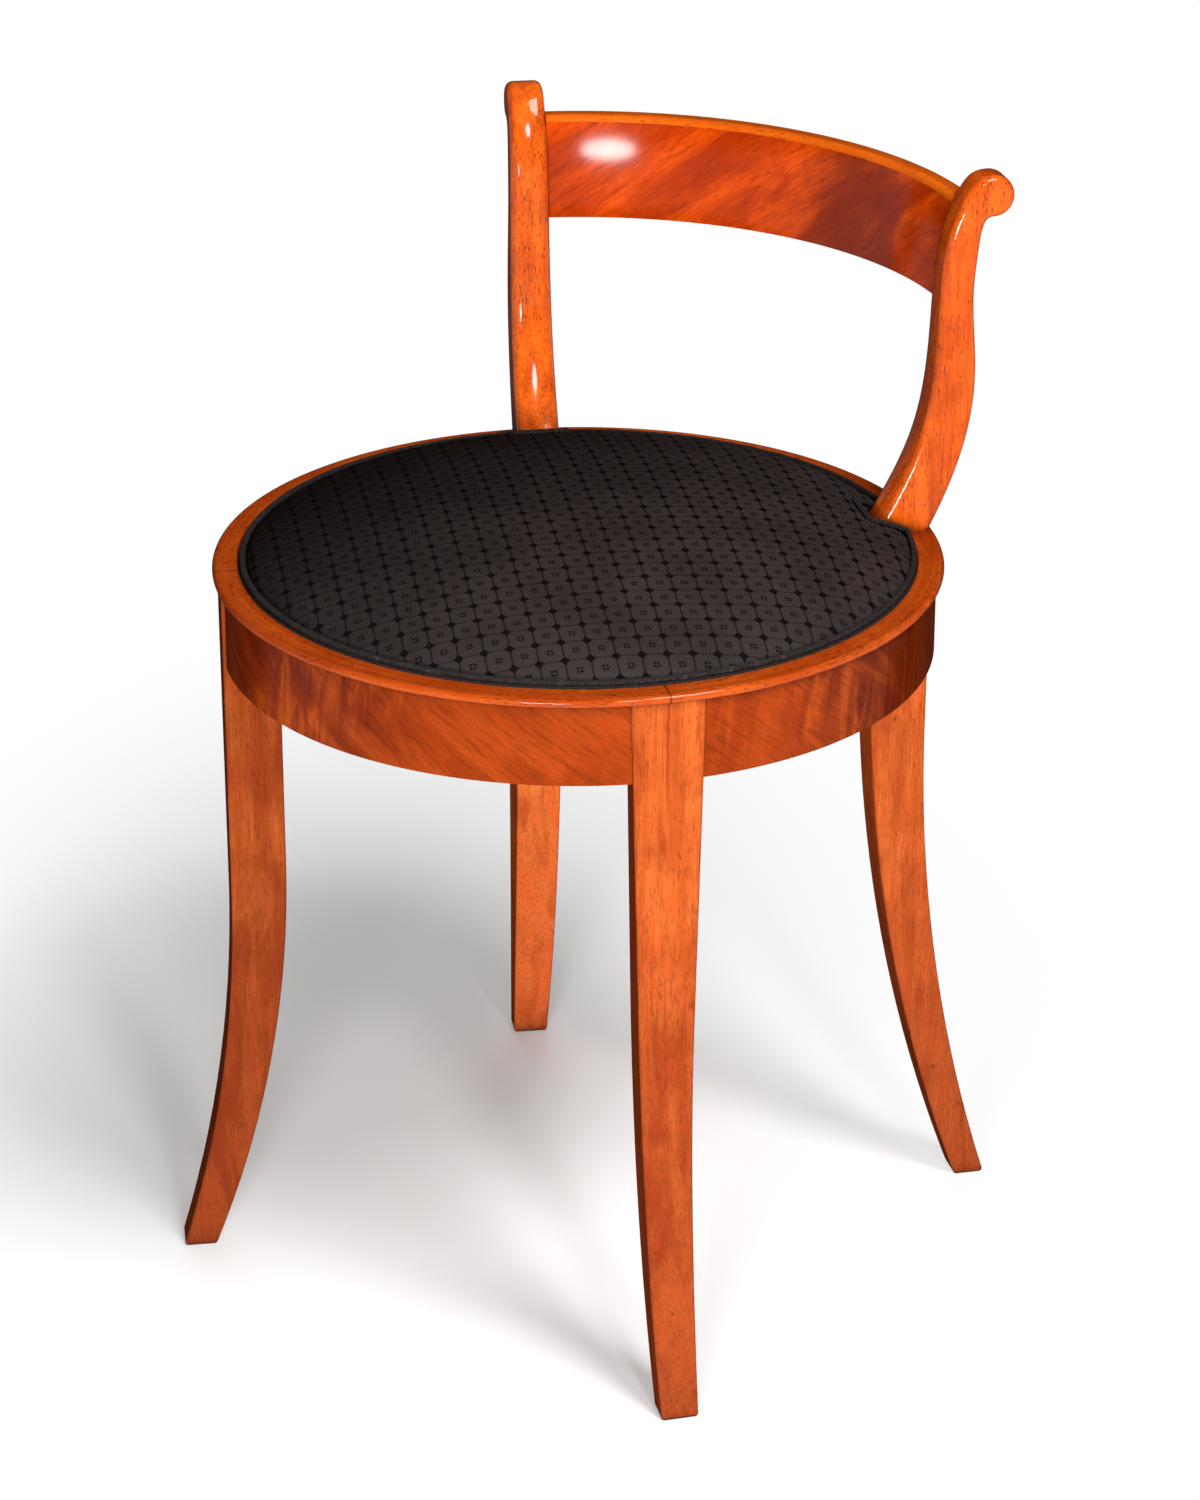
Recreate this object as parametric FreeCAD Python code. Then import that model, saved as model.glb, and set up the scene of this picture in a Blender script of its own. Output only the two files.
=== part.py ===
import FreeCAD, Part
import math
import os

from FreeCAD import Vector

# A round vanity stool with a low curved back: four sabre legs, a veneered apron, a moulded rim,
# two scrolled uprights with a crest rail, and a loose padded seat that drops into the rim.
# Sizes are in millimetres and degrees. Azimuth 0 is the front of the stool (-Y), and left is -X.

# Rim, apron and the pocket for the loose seat
rim_radius = 215.0
rim_width = 15.3
rim_top = 445.0
rim_thickness = 5.5
rim_overhang = 4.5
apron_height = 48.0
apron_thickness = 32.5
veneer_thickness = 1.5
ledge_drop = 10.5

# Legs, with the feet splayed further at the back
leg_front_azimuth = 48.2
leg_back_azimuth = 137.7
leg_proud = 1.0
leg_face_top_width = 43.5
leg_face_foot_width = 21.0
leg_inner_top_width = 32.5
leg_inner_foot_width = 20.0
front_foot_splay = 36.5
front_foot_depth = 20.0
front_sweep_outer = 240.0
front_sweep_inner = 260.0
back_foot_splay = 50.5
back_foot_depth = 19.0
back_sweep_outer = 320.0
back_sweep_inner = 360.0
arris_radius = 2.0
sole_radius = 1.8

# Joints of the seat ring
tenon_thickness = 10.0
tenon_length = 9.0
tenon_root = 6.0
tenon_shoulder = 8.0
joint_clearance = 0.2

# Corner blocks and their screws
block_depth = 26.0
block_half_length = 42.0
block_height = 22.0
block_rise = 10.0
screw_radius = 2.0
screw_length = 40.0
screw_offset = 29.0
screw_head_radius = 3.8
screw_head_height = 2.2
screw_clearance = 0.1

# Uprights: offsets are outwards from the pocket wall, heights are above the rim
upright_foot_width = 27.0
upright_top_width = 22.5
upright_arris_radius = 5.0
upright_front = [(-22.7, 0.0), (-9.7, 22.0), (6.3, 59.5), (13.6, 101.0),
                 (15.8, 143.0), (20.8, 182.0), (31.3, 206.5)]
upright_back = [(40.9, 185.5), (38.6, 173.0), (36.3, 145.0), (38.6, 100.0),
                (37.3, 74.0), (28.3, 37.0), (12.3, 0.0)]
scroll_offset = 46.8
scroll_height = 203.0
scroll_radius = 12.4
upright_tenon_width = 13.0
upright_tenon_depth = 12.0
upright_tenon_length = 28.0
upright_tenon_setback = 6.0

# Crest rail between the uprights
crest_rise = 135.0
crest_height = 63.5
crest_thickness = 13.5
crest_lean = 6.0
crest_face_offset = 22.3
crest_veneer_thickness = 1.2
crest_round = 4.0
crest_tenon_length = 9.0
crest_tenon_thickness = 7.0
crest_tenon_height = 38.0

# Loose seat: wooden frame, webbing, hessian, stuffing, cover and edge piping
seat_clearance = 0.6
seat_rest_gap = 0.2
seat_frame_width = 49.5
seat_frame_thickness = 11.0
cover_thickness = 1.0
fit_gap = 0.1
piping_gap = 0.3
cover_return = 32.0
notch_clearance = 1.5
crown_rise = 31.0
crown_radius = 850.0
shoulder_radius = 200.0
shoulder_width = 35.6
edge_bevel = 3.4
piping_radius = 2.2
piping_inset = 2.0
dowel_radius = 3.5
dowel_length = 30.0
dowel_inset = 15.0
strap_width = 50.0
strap_pitch = 62.0
strap_thickness = 1.5
strap_end_margin = 11.0
strap_slope = 5.0
straps_each_way = 3
hessian_thickness = 0.6
hessian_margin = 9.0
tack_radius = 0.7
tack_length = 7.0
tack_head_radius = 2.4
tack_head_height = 0.7
cover_tack_count = 32
cover_tack_inset = 27.0
strap_tack_pitch = 16.0
strap_tack_margin = 10.0

# Travel for tools that cut right through
cut_margin = 60.0

# Levels and radii that follow from the sizes above
rim_inner_radius = rim_radius - rim_width
rim_underside = rim_top - rim_thickness
apron_bottom = rim_underside - apron_height
ledge = rim_underside - ledge_drop
apron_radius = rim_radius - rim_overhang
core_radius = apron_radius - veneer_thickness
apron_inner_radius = apron_radius - apron_thickness
leg_face_radius = apron_radius + leg_proud
pad_radius = rim_inner_radius - seat_clearance
cover_bottom = ledge + seat_rest_gap
frame_bottom = cover_bottom + cover_thickness + fit_gap
frame_top = frame_bottom + seat_frame_thickness
frame_outer_radius = pad_radius - cover_thickness - fit_gap
frame_inner_radius = frame_outer_radius - seat_frame_width
hessian_bottom = frame_top + 2 * strap_thickness + fit_gap
stuffing_bottom = hessian_bottom + hessian_thickness + fit_gap
crown_top = rim_top + crown_rise
crown_reach = pad_radius - shoulder_width
edge_radius = pad_radius - edge_bevel
foot_front_radius = rim_inner_radius + upright_front[0][0]
notch_wall_radius = foot_front_radius - notch_clearance
notch_half_width = upright_foot_width / 2 + notch_clearance

leg_azimuths = {
    "front_right": leg_front_azimuth,
    "back_right": leg_back_azimuth,
    "back_left": 360.0 - leg_back_azimuth,
    "front_left": 360.0 - leg_front_azimuth,
}
upright_azimuths = {"right": leg_back_azimuth, "left": 360.0 - leg_back_azimuth}
ring_spans = {
    "front": (-leg_front_azimuth, leg_front_azimuth),
    "right": (leg_front_azimuth, leg_back_azimuth),
    "back": (leg_back_azimuth, 360.0 - leg_back_azimuth),
    "left": (360.0 - leg_back_azimuth, 360.0 - leg_front_azimuth),
}
seat_spans = {"front_right": 0.0, "back_right": 90.0, "back_left": 180.0, "front_left": 270.0}
axis_origin = Vector(0, 0, 0)
axis_up = Vector(0, 0, 1)


# Helpers: pieces are drawn at the front of the stool and turned to their azimuth

def place(radius, z, across=0.0):
    return Vector(across, -radius, z)


def turned(shape, azimuth):
    copy = shape.copy()
    copy.rotate(axis_origin, axis_up, azimuth)
    return copy


def line(start, end):
    return Part.LineSegment(start, end).toShape()


def polygon_face(points):
    return Part.Face(Part.makePolygon(points + points[:1]))


def edge_face(edges):
    return Part.Face(Part.Wire(edges))


def spun(face, start, sweep):
    return turned(face, start).revolve(axis_origin, axis_up, sweep)


def ring(inner, outer, low, high, start, sweep):
    face = polygon_face([place(inner, low), place(outer, low), place(outer, high), place(inner, high)])
    return spun(face, start, sweep)


def block(across, radii, levels):
    width = across[1] - across[0]
    depth = radii[1] - radii[0]
    height = levels[1] - levels[0]
    return Part.makeBox(width, depth, height, place(radii[1], levels[0], across[0]))


def tapered_blank(foot_width, top_width, low, high):
    half_foot = foot_width / 2
    half_top = top_width / 2
    face = polygon_face([place(0, low, -half_foot), place(0, low, half_foot),
                         place(0, high, half_top), place(0, high, -half_top)])
    return face.extrude(Vector(0, -2 * rim_radius, 0))


def side_profile_solid(edges, width):
    solid = edge_face(edges).extrude(Vector(2 * width, 0, 0))
    solid.translate(Vector(-width, 0, 0))
    return solid


def tall_edges(shape):
    return [edge for edge in shape.Edges if edge.BoundBox.ZLength > arris_radius]


# Legs

def sweep_arc(top_radius, start_level, foot_radius):
    reach = foot_radius - top_radius
    radius = (start_level ** 2 + reach ** 2) / (2 * reach)
    half_turn = math.asin(start_level / radius) / 2
    middle_radius = top_radius + radius * (1 - math.cos(half_turn))
    middle = place(middle_radius, start_level - radius * math.sin(half_turn))
    return Part.Arc(place(top_radius, start_level), middle, place(foot_radius, 0)).toShape()


def leg_width(radius, level):
    rise = level / rim_underside
    inner = leg_inner_foot_width + (leg_inner_top_width - leg_inner_foot_width) * rise
    face = leg_face_foot_width + (leg_face_top_width - leg_face_foot_width) * rise
    return inner + (face - inner) * (radius - apron_inner_radius) / (leg_face_radius - apron_inner_radius)


def leg_blank():
    wires = []
    for radius in (apron_inner_radius - cut_margin, leg_face_radius + back_foot_splay + cut_margin):
        foot = leg_width(radius, 0) / 2
        top = leg_width(radius, rim_underside) / 2
        points = [place(radius, 0, -foot), place(radius, 0, foot),
                  place(radius, rim_underside, top), place(radius, rim_underside, -top)]
        wires.append(Part.makePolygon(points + points[:1]))
    return Part.makeLoft(wires, True, True)


def seat_pocket():
    return Part.makeCylinder(rim_inner_radius, cut_margin, Vector(0, 0, ledge))


def plain_leg(splay, depth, sweep_outer, sweep_inner):
    foot_outer = leg_face_radius + splay
    foot_inner = foot_outer - depth
    edges = [line(place(leg_face_radius, rim_underside), place(leg_face_radius, sweep_outer)),
             sweep_arc(leg_face_radius, sweep_outer, foot_outer),
             line(place(foot_outer, 0), place(foot_inner, 0)),
             sweep_arc(apron_inner_radius, sweep_inner, foot_inner),
             line(place(apron_inner_radius, sweep_inner), place(apron_inner_radius, rim_underside)),
             line(place(apron_inner_radius, rim_underside), place(leg_face_radius, rim_underside))]
    solid = side_profile_solid(edges, leg_face_top_width).common(leg_blank())
    solid = solid.makeFillet(arris_radius, tall_edges(solid))
    sole_edges = [edge for edge in solid.Edges if edge.BoundBox.ZMax < sole_radius]
    return solid.makeFillet(sole_radius, sole_edges)


tenon_levels = (apron_bottom + tenon_shoulder, ledge - tenon_shoulder)
tenon_middle_radius = (apron_inner_radius + core_radius) / 2
tenon_radii = (tenon_middle_radius - tenon_thickness / 2, tenon_middle_radius + tenon_thickness / 2)
tenon_tip = leg_width(tenon_middle_radius, tenon_levels[0]) / 2 - tenon_length


def grown(span, amount):
    return (span[0] - amount, span[1] + amount)


def apron_tenon(side, clearance):
    far = tenon_tip + tenon_length + tenon_root
    across = (tenon_tip - clearance, far)
    if side < 0:
        across = (-far, -tenon_tip + clearance)
    return block(across, grown(tenon_radii, clearance), grown(tenon_levels, clearance))


upright_tenon_radii = (foot_front_radius + upright_tenon_setback,
                       foot_front_radius + upright_tenon_setback + upright_tenon_depth)


def upright_tenon(clearance):
    across = grown((-upright_tenon_width / 2, upright_tenon_width / 2), clearance)
    levels = (ledge - upright_tenon_length - clearance, ledge + ledge_drop)
    return block(across, grown(upright_tenon_radii, clearance), levels)


def leg(is_back):
    if is_back:
        solid = plain_leg(back_foot_splay, back_foot_depth, back_sweep_outer, back_sweep_inner)
        solid = solid.cut(upright_tenon(joint_clearance))
    else:
        solid = plain_leg(front_foot_splay, front_foot_depth, front_sweep_outer, front_sweep_inner)
    solid = solid.cut(seat_pocket())
    for side in (-1, 1):
        solid = solid.cut(apron_tenon(side, joint_clearance))
    return solid


# Corner blocks behind the legs, each held by two screws

block_radii = (apron_inner_radius - block_depth, apron_inner_radius - joint_clearance)
block_levels = (apron_bottom + block_rise, apron_bottom + block_rise + block_height)
screw_level = apron_bottom + block_rise + block_height / 2


def screw(side, clearance):
    head_seat = place(block_radii[0], screw_level, side * screw_offset)
    outwards = Vector(0, -1, 0)
    shank = Part.makeCylinder(screw_radius + clearance, screw_length + clearance, head_seat, outwards)
    if clearance > 0:
        return shank
    head = Part.makeCylinder(screw_head_radius, screw_head_height, head_seat, Vector(0, 1, 0))
    return shank.fuse(head).removeSplitter()


def corner_block():
    blank = block((-block_half_length, block_half_length), (block_radii[0], rim_radius), block_levels)
    solid = blank.common(Part.makeCylinder(block_radii[1], rim_top))
    for side in (-1, 1):
        solid = solid.cut(screw(side, screw_clearance))
    return solid


# Apron: a curved core tenoned into the legs, faced with veneer

def between_legs(solid, span):
    for azimuth in span:
        solid = solid.cut(turned(leg_blank(), azimuth))
    return solid


def apron_core(span):
    solid = ring(apron_inner_radius, core_radius, apron_bottom, rim_underside, span[0], span[1] - span[0])
    solid = between_legs(solid.cut(seat_pocket()), span)
    for azimuth, side in zip(span, (1, -1)):
        solid = solid.fuse(turned(apron_tenon(side, 0), azimuth))
        solid = solid.cut(turned(screw(side, screw_clearance), azimuth))
    return solid.removeSplitter()


def apron_veneer(span):
    solid = ring(core_radius, apron_radius, apron_bottom, rim_underside, span[0], span[1] - span[0])
    return between_legs(solid, span)


# Rim moulding with a half-round edge, jointed over the legs

def rim_segment(span):
    nose = rim_thickness / 2
    nose_radius = rim_radius - nose
    middle = rim_top - nose
    edges = [line(place(rim_inner_radius, rim_underside), place(nose_radius, rim_underside)),
             Part.Arc(place(nose_radius, rim_underside), place(rim_radius, middle),
                      place(nose_radius, rim_top)).toShape(),
             line(place(nose_radius, rim_top), place(rim_inner_radius, rim_top)),
             line(place(rim_inner_radius, rim_top), place(rim_inner_radius, rim_underside))]
    return spun(edge_face(edges), span[0], span[1] - span[0])


# Uprights: a curved side profile that ends in a scroll, with a block and tenon below the rim

def upright_half_width(level):
    share = (level - rim_top) / (scroll_height + scroll_radius)
    return (upright_foot_width + (upright_top_width - upright_foot_width) * share) / 2


def upright_blank():
    top = rim_top + scroll_height + cut_margin
    return tapered_blank(upright_foot_width, 2 * upright_half_width(top), rim_top, top)


def upright_point(pair):
    return place(rim_inner_radius + pair[0], rim_top + pair[1])


crest_levels = (rim_top + crest_rise, rim_top + crest_rise + crest_height)
crest_middle_level = (crest_levels[0] + crest_levels[1]) / 2


def crest_face(level):
    share = (level - crest_levels[0]) / crest_height
    return rim_inner_radius + crest_face_offset + crest_lean * share


crest_middle_radius = crest_face(crest_middle_level) + crest_thickness / 2


def crest_tenon(side, clearance):
    tip = upright_half_width(crest_middle_level) - crest_tenon_length
    far = upright_foot_width
    across = (tip - clearance, far)
    if side < 0:
        across = (-far, -tip + clearance)
    radii = grown((crest_middle_radius, crest_middle_radius), crest_tenon_thickness / 2)
    levels = grown((crest_middle_level, crest_middle_level), crest_tenon_height / 2)
    return block(across, grown(radii, clearance), grown(levels, clearance))


def curve_through(points, tangent_index, tangent):
    curve = Part.BSplineCurve()
    flags = [index == tangent_index for index in range(len(points))]
    curve.interpolate(Points=points, Tangents=[tangent] * len(points), TangentFlags=flags)
    return curve.toShape()


def upright(crest_side):
    scroll_top = upright_point((scroll_offset, scroll_height + scroll_radius))
    scroll_back = upright_point((scroll_offset + scroll_radius, scroll_height))
    scroll_under = upright_point((scroll_offset, scroll_height - scroll_radius))
    front_points = [upright_point(pair) for pair in upright_front] + [scroll_top]
    back_points = [scroll_under] + [upright_point(pair) for pair in upright_back]
    edges = [curve_through(front_points, len(front_points) - 1, Vector(0, -1, 0)),
             Part.Arc(scroll_top, scroll_back, scroll_under).toShape(),
             curve_through(back_points, 0, Vector(0, 1, 0)),
             line(back_points[-1], front_points[0])]
    solid = side_profile_solid(edges, upright_foot_width).common(upright_blank())
    solid = solid.makeFillet(upright_arris_radius, tall_edges(solid))
    half_width = upright_foot_width / 2
    pocket_block = block((-half_width, half_width), (foot_front_radius, rim_inner_radius), (ledge, rim_top))
    pocket_block = pocket_block.common(Part.makeCylinder(rim_inner_radius - joint_clearance, rim_top))
    solid = solid.fuse(pocket_block).fuse(upright_tenon(0)).removeSplitter()
    return solid.cut(crest_tenon(crest_side, joint_clearance))


# Crest rail: a leaning curved core with a rounded top, and veneer on its front

def between_uprights(solid):
    for azimuth in upright_azimuths.values():
        solid = solid.cut(turned(upright_blank(), azimuth))
    return solid


crest_span = (leg_back_azimuth, 360.0 - 2 * leg_back_azimuth)


def crest_rail():
    low, high = crest_levels
    turn = high - crest_round
    inset = crest_veneer_thickness
    face_turn = crest_face(turn)
    back_turn = face_turn + crest_thickness
    diagonal = crest_round * (1 - math.sqrt(0.5))
    edges = [line(place(crest_face(low) + inset, low), place(face_turn + inset, turn)),
             line(place(face_turn + inset, turn), place(face_turn, turn)),
             Part.Arc(place(face_turn, turn), place(face_turn + diagonal, high - diagonal),
                      place(face_turn + crest_round, high)).toShape(),
             line(place(face_turn + crest_round, high), place(back_turn - crest_round, high)),
             Part.Arc(place(back_turn - crest_round, high), place(back_turn - diagonal, high - diagonal),
                      place(back_turn, turn)).toShape(),
             line(place(back_turn, turn), place(crest_face(low) + crest_thickness, low)),
             line(place(crest_face(low) + crest_thickness, low), place(crest_face(low) + inset, low))]
    solid = between_uprights(spun(edge_face(edges), *crest_span))
    for azimuth, side in zip(upright_azimuths.values(), (1, -1)):
        solid = solid.fuse(turned(crest_tenon(side, 0), azimuth))
    return solid.removeSplitter()


def crest_veneer():
    low = crest_levels[0]
    turn = crest_levels[1] - crest_round
    inset = crest_veneer_thickness
    face = polygon_face([place(crest_face(low), low), place(crest_face(low) + inset, low),
                         place(crest_face(turn) + inset, turn), place(crest_face(turn), turn)])
    return between_uprights(spun(face, *crest_span))


# Crowned outline of the seat: a wide arc over the middle and a tighter one at the shoulder

crown_centre = crown_top - crown_radius
crown_turn = math.asin(crown_reach / crown_radius)
shoulder_centre_radius = (crown_radius - shoulder_radius) * math.sin(crown_turn)
shoulder_centre_level = crown_centre + (crown_radius - shoulder_radius) * math.cos(crown_turn)


def crown_level(radius, inset=0.0):
    if radius < crown_reach:
        return crown_centre + math.sqrt((crown_radius - inset) ** 2 - radius ** 2)
    run = radius - shoulder_centre_radius
    return shoulder_centre_level + math.sqrt((shoulder_radius - inset) ** 2 - run ** 2)


def crown_edges(inset):
    edge = edge_radius - inset
    turn_radius = (crown_radius - inset) * math.sin(crown_turn)
    turn_level = crown_centre + (crown_radius - inset) * math.cos(crown_turn)
    shoulder_middle = (turn_radius + edge) / 2
    crown_middle = turn_radius / 2
    top = place(0, crown_top - inset)
    turn = place(turn_radius, turn_level)
    crown = Part.Arc(top, place(crown_middle, crown_level(crown_middle, inset)), turn)
    shoulder = Part.Arc(turn, place(shoulder_middle, crown_level(shoulder_middle, inset)),
                        place(edge, crown_level(edge, inset)))
    return [crown.toShape(), shoulder.toShape()]


def seat_envelope(inset, low):
    edge = place(edge_radius - inset, crown_level(edge_radius - inset, inset))
    side = place(pad_radius - inset, crown_level(edge_radius) - edge_bevel)
    low_edge = place(pad_radius - inset, low)
    low_middle = place(0, low)
    top = place(0, crown_top - inset)
    edges = crown_edges(inset) + [line(edge, side), line(side, low_edge),
                                  line(low_edge, low_middle), line(low_middle, top)]
    return edge_face(edges).revolve(axis_origin, axis_up, 360)


def clear_of_uprights(solid, growth):
    half_width = notch_half_width + growth
    radii = (notch_wall_radius - growth, rim_radius)
    cutter = block((-half_width, half_width), radii, (apron_bottom, crown_top))
    for azimuth in upright_azimuths.values():
        solid = solid.cut(turned(cutter, azimuth))
    return solid


# Piping: a bead along the seat's edge that goes in and out around the foot of each upright

piping_circle_radius = pad_radius - piping_inset
piping_across = notch_half_width + piping_inset
piping_notch_radius = notch_wall_radius - piping_inset


def rod(start, end, radius):
    run = end - start
    return Part.makeCylinder(radius, run.Length, start, run)


def piping(radius):
    level = crown_level(piping_circle_radius)
    corner = math.sqrt(piping_circle_radius ** 2 - piping_across ** 2)
    inner_level = crown_level(math.hypot(piping_notch_radius, piping_across))
    route = [place(corner, level, -piping_across), place(piping_notch_radius, inner_level, -piping_across),
             place(piping_notch_radius, inner_level, piping_across), place(corner, level, piping_across)]
    detour = [Part.makeSphere(radius, point) for point in route]
    detour += [rod(start, end, radius) for start, end in zip(route, route[1:])]
    corner_turn = math.degrees(math.asin(piping_across / piping_circle_radius))
    first = leg_back_azimuth + corner_turn
    front_first = 360.0 - leg_back_azimuth + corner_turn
    circle = Part.Circle(place(piping_circle_radius, level), Vector(1, 0, 0), radius)
    disc = Part.Face(Part.Wire(circle.toShape()))
    pieces = [spun(disc, first, 360.0 - leg_back_azimuth - corner_turn - first),
              spun(disc, front_first, 360.0 + leg_back_azimuth - corner_turn - front_first)]
    for azimuth in upright_azimuths.values():
        pieces += [turned(piece, azimuth) for piece in detour]
    return pieces[0].multiFuse(pieces[1:]).removeSplitter()


# Seat frame: four quarter pieces, dowelled end to end

def seat_dowels(clearance):
    dowels = []
    middle = (frame_bottom + frame_top) / 2
    length = dowel_length + 2 * clearance
    for radius in (frame_inner_radius + dowel_inset, frame_outer_radius - dowel_inset):
        start = place(radius, middle, -length / 2)
        dowels.append(Part.makeCylinder(dowel_radius + clearance, length, start, Vector(1, 0, 0)))
    return [turned(dowel, azimuth) for azimuth in seat_spans.values() for dowel in dowels]


def tack(point, up, growth):
    shank = Part.makeCylinder(tack_radius + growth, tack_length + growth, point, up)
    if growth > 0:
        return shank
    head = Part.makeCylinder(tack_head_radius, tack_head_height, point, up * -1)
    return shank.fuse(head).removeSplitter()


def cover_tacks(growth):
    point = place(pad_radius - cover_tack_inset, cover_bottom)
    one = tack(point, axis_up, growth)
    return [turned(one, 360.0 * (index + 0.5) / cover_tack_count) for index in range(cover_tack_count)]


strap_offsets = [strap_pitch * (index - (straps_each_way - 1) / 2) for index in range(straps_each_way)]
strap_end_radius = frame_outer_radius - strap_end_margin


def strap_half_length(offset):
    return math.sqrt(strap_end_radius ** 2 - (abs(offset) + strap_width / 2) ** 2)


def strap_tacks(growth):
    tacks = []
    for turn in (0, 90):
        for offset in strap_offsets:
            reach = strap_half_length(offset) - strap_tack_margin
            for end in (-reach, reach):
                for step in (-strap_tack_pitch, 0, strap_tack_pitch):
                    point = Vector(offset + step, end, frame_top + strap_thickness)
                    tacks.append(turned(tack(point, axis_up * -1, growth), turn))
    return tacks


def seat_frame_piece(start):
    solid = ring(frame_inner_radius, frame_outer_radius, frame_bottom, frame_top, start, 90)
    solid = clear_of_uprights(solid, cover_thickness + fit_gap)
    tools = seat_dowels(joint_clearance) + cover_tacks(fit_gap) + strap_tacks(fit_gap)
    near = [tool for tool in tools if tool.BoundBox.intersect(solid.BoundBox)]
    return solid.cut(near)


# Webbing: straps that pass over and under each other, tacked to the top of the frame

def strap(row, turn):
    offset = strap_offsets[row]
    reach = strap_half_length(offset)
    levels = [(-reach, 0.0)]
    for column, crossing in enumerate(strap_offsets):
        goes_over = (row + column) % 2 == (0 if turn == 0 else 1)
        if goes_over:
            half = strap_width / 2
            levels += [(crossing - half - strap_slope, 0.0), (crossing - half, strap_thickness),
                       (crossing + half, strap_thickness), (crossing + half + strap_slope, 0.0)]
    levels.append((reach, 0.0))
    side = offset - strap_width / 2
    under = [Vector(side, along, frame_top + rise) for along, rise in levels]
    over = [Vector(side, along, frame_top + rise + strap_thickness) for along, rise in reversed(levels)]
    solid = turned(polygon_face(under + over).extrude(Vector(strap_width, 0, 0)), turn)
    near = [tool for tool in strap_tacks(fit_gap) if tool.BoundBox.intersect(solid.BoundBox)]
    return solid.cut(near)


def webbing(turn):
    return Part.makeCompound([strap(row, turn) for row in range(straps_each_way)])


def hessian():
    radius = frame_outer_radius - hessian_margin
    solid = Part.makeCylinder(radius, hessian_thickness, Vector(0, 0, hessian_bottom))
    return clear_of_uprights(solid, cover_thickness + fit_gap)


# Stuffing and cover share the crowned outline, with a groove that the piping lies in

def stuffing():
    inset = cover_thickness + fit_gap
    solid = clear_of_uprights(seat_envelope(inset, stuffing_bottom), inset)
    return solid.cut(piping(piping_radius + piping_gap + inset))


def seat_cover():
    groove = piping_radius + piping_gap
    outer = clear_of_uprights(seat_envelope(0, cover_bottom), 0).cut(piping(groove))
    filling = seat_envelope(cover_thickness, cover_bottom + cover_thickness)
    filling = clear_of_uprights(filling, cover_thickness).cut(piping(groove + cover_thickness))
    opening_start = Vector(0, 0, cover_bottom - cover_thickness)
    opening = Part.makeCylinder(pad_radius - cover_return, 2 * cover_thickness, opening_start)
    return outer.cut(filling).cut([opening] + cover_tacks(fit_gap))


# Collect every piece under its name

parts = {}
for name, azimuth in leg_azimuths.items():
    parts["leg_" + name] = turned(leg(name.startswith("back")), azimuth)
    parts["corner_block_" + name] = turned(corner_block(), azimuth)
parts["corner_block_screws"] = Part.makeCompound(
    [turned(screw(side, 0), azimuth) for azimuth in leg_azimuths.values() for side in (-1, 1)])
for name, span in ring_spans.items():
    parts["apron_core_" + name] = apron_core(span)
    parts["apron_veneer_" + name] = apron_veneer(span)
    parts["seat_rim_" + name] = rim_segment(span)
for (name, azimuth), crest_side in zip(upright_azimuths.items(), (1, -1)):
    parts["upright_" + name] = turned(upright(crest_side), azimuth)
parts["crest_rail"] = crest_rail()
parts["crest_veneer"] = crest_veneer()
for name, start in seat_spans.items():
    parts["seat_frame_" + name] = seat_frame_piece(start)
parts["seat_frame_dowels"] = Part.makeCompound(seat_dowels(0))
parts["webbing_lengthwise"] = webbing(0)
parts["webbing_crosswise"] = webbing(90)
parts["webbing_tacks"] = Part.makeCompound(strap_tacks(0))
parts["seat_hessian"] = hessian()
parts["seat_stuffing"] = stuffing()
parts["seat_cover"] = seat_cover()
parts["cover_tacks"] = Part.makeCompound(cover_tacks(0))
parts["edge_piping"] = piping(piping_radius)

# Stand the stool with the middle of its footprint box on the origin

box = Part.makeCompound([parts["seat_rim_front"], parts["crest_rail"]]).optimalBoundingBox(False, False)
shift = Vector(0, -(box.YMin + box.YMax) / 2, 0)

os.makedirs("parts", exist_ok=True)
for name, shape in parts.items():
    shape.translate(shift)
    shape.exportStep("parts/" + name + ".step")
    print(name, len(shape.Solids), shape.isValid(), round(shape.Volume / 1000, 2))
print("shift", round(shift.y, 3))
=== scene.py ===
import bmesh
import bpy
import math
from mathutils import Matrix, Vector, noise


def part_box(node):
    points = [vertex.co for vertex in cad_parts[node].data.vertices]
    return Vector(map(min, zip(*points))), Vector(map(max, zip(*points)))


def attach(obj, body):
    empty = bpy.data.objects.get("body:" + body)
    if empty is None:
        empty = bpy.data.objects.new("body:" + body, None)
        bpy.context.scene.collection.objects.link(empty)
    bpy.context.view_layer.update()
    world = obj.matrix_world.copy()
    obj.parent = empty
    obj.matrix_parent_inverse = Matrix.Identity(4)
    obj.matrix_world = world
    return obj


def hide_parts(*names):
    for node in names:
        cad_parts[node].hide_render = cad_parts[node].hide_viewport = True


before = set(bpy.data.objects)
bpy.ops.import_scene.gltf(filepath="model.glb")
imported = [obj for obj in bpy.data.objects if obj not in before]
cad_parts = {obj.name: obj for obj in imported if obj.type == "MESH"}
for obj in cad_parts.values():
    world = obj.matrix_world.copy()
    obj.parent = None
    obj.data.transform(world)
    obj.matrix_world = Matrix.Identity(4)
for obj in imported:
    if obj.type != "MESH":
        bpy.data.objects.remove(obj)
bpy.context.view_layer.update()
print("frame loaded:", len(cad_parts), "nodes")

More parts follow.
